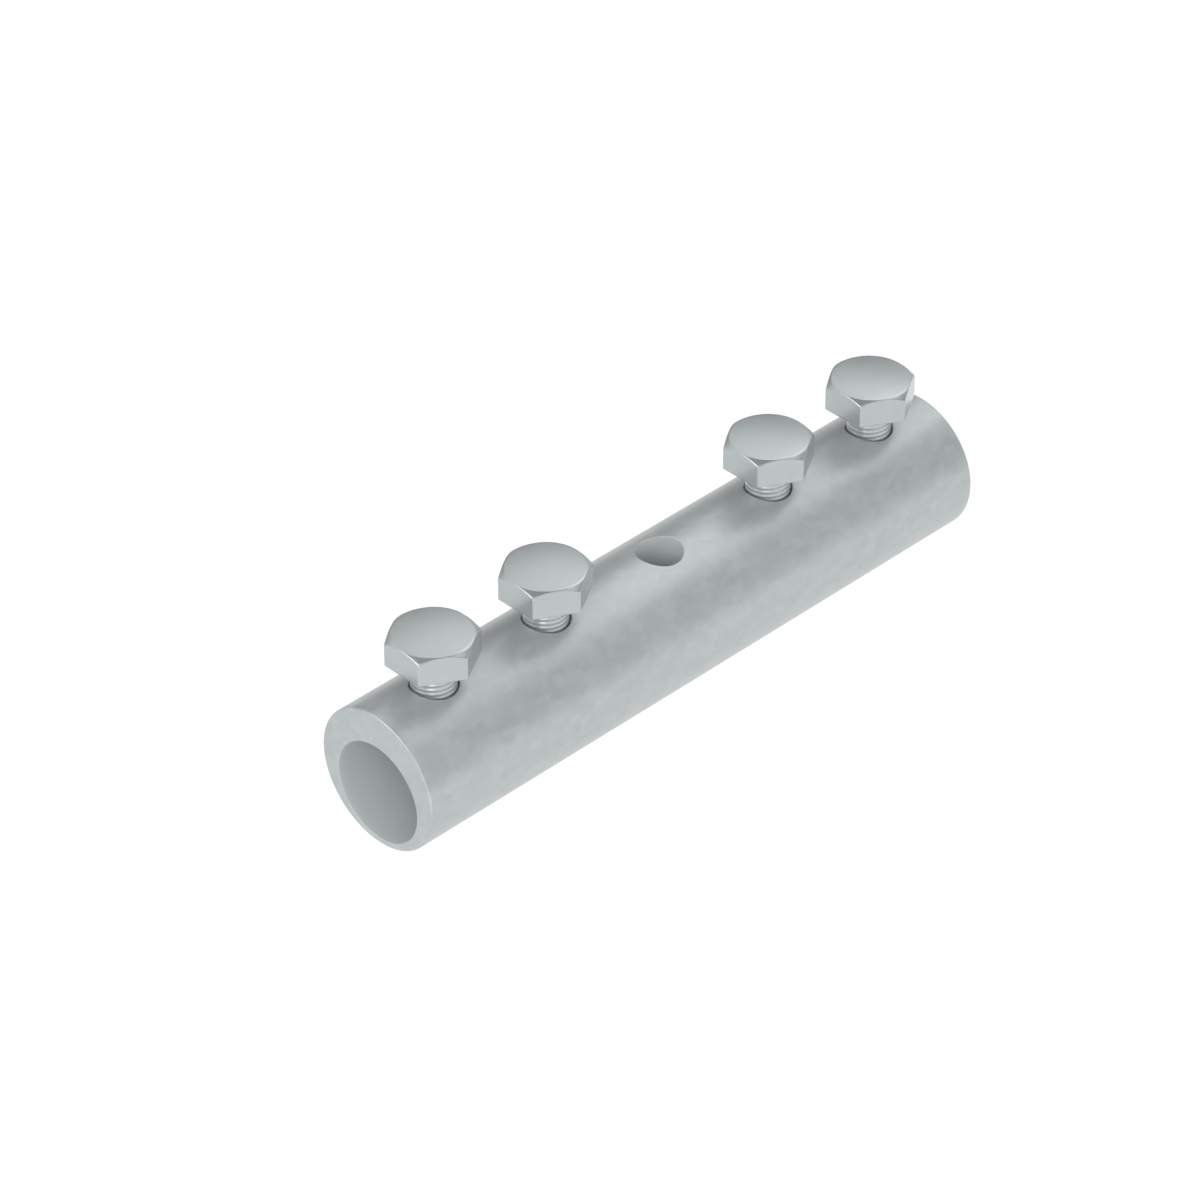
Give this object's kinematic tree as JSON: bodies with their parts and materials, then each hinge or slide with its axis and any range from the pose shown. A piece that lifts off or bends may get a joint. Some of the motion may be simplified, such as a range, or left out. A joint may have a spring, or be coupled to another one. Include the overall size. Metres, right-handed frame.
{
  "type": "earthing connector",
  "caption": "Round steel sleeve with an off-centre bore and hexagon clamping bolts along its top, joining two round earthing conductors end to end.",
  "frame": {"origin": "on the axis of the bore, halfway along the sleeve, where the ends of the two conductors meet", "axes": "+X along the sleeve, from bolt_1 to bolt_4; +Z out of the roof, the way the bolt heads point; +Y completes a right-handed frame"},
  "size_m": [0.12, 0.024, 0.0335],
  "materials": {
    "galvanised_sleeve": "satin",
    "plated_bolt": "satin"
  },
  "bodies": {
    "sleeve": {"sleeve": "galvanised_sleeve"},
    "bolt_1": {"bolt_1": "plated_bolt"},
    "bolt_2": {"bolt_2": "plated_bolt"},
    "bolt_3": {"bolt_3": "plated_bolt"},
    "bolt_4": {"bolt_4": "plated_bolt"}
  },
  "joints": [
    {"name": "bolt_1_travel", "type": "slide", "parent": "sleeve", "child": "bolt_1", "axis": [0, 0, 1], "range_m": [-0.00445, 0.0115]},
    {"name": "bolt_2_travel", "type": "slide", "parent": "sleeve", "child": "bolt_2", "axis": [0, 0, 1], "range_m": [-0.00445, 0.0115]},
    {"name": "bolt_3_travel", "type": "slide", "parent": "sleeve", "child": "bolt_3", "axis": [0, 0, 1], "range_m": [-0.00445, 0.0115]},
    {"name": "bolt_4_travel", "type": "slide", "parent": "sleeve", "child": "bolt_4", "axis": [0, 0, 1], "range_m": [-0.00445, 0.0115]}
  ]
}
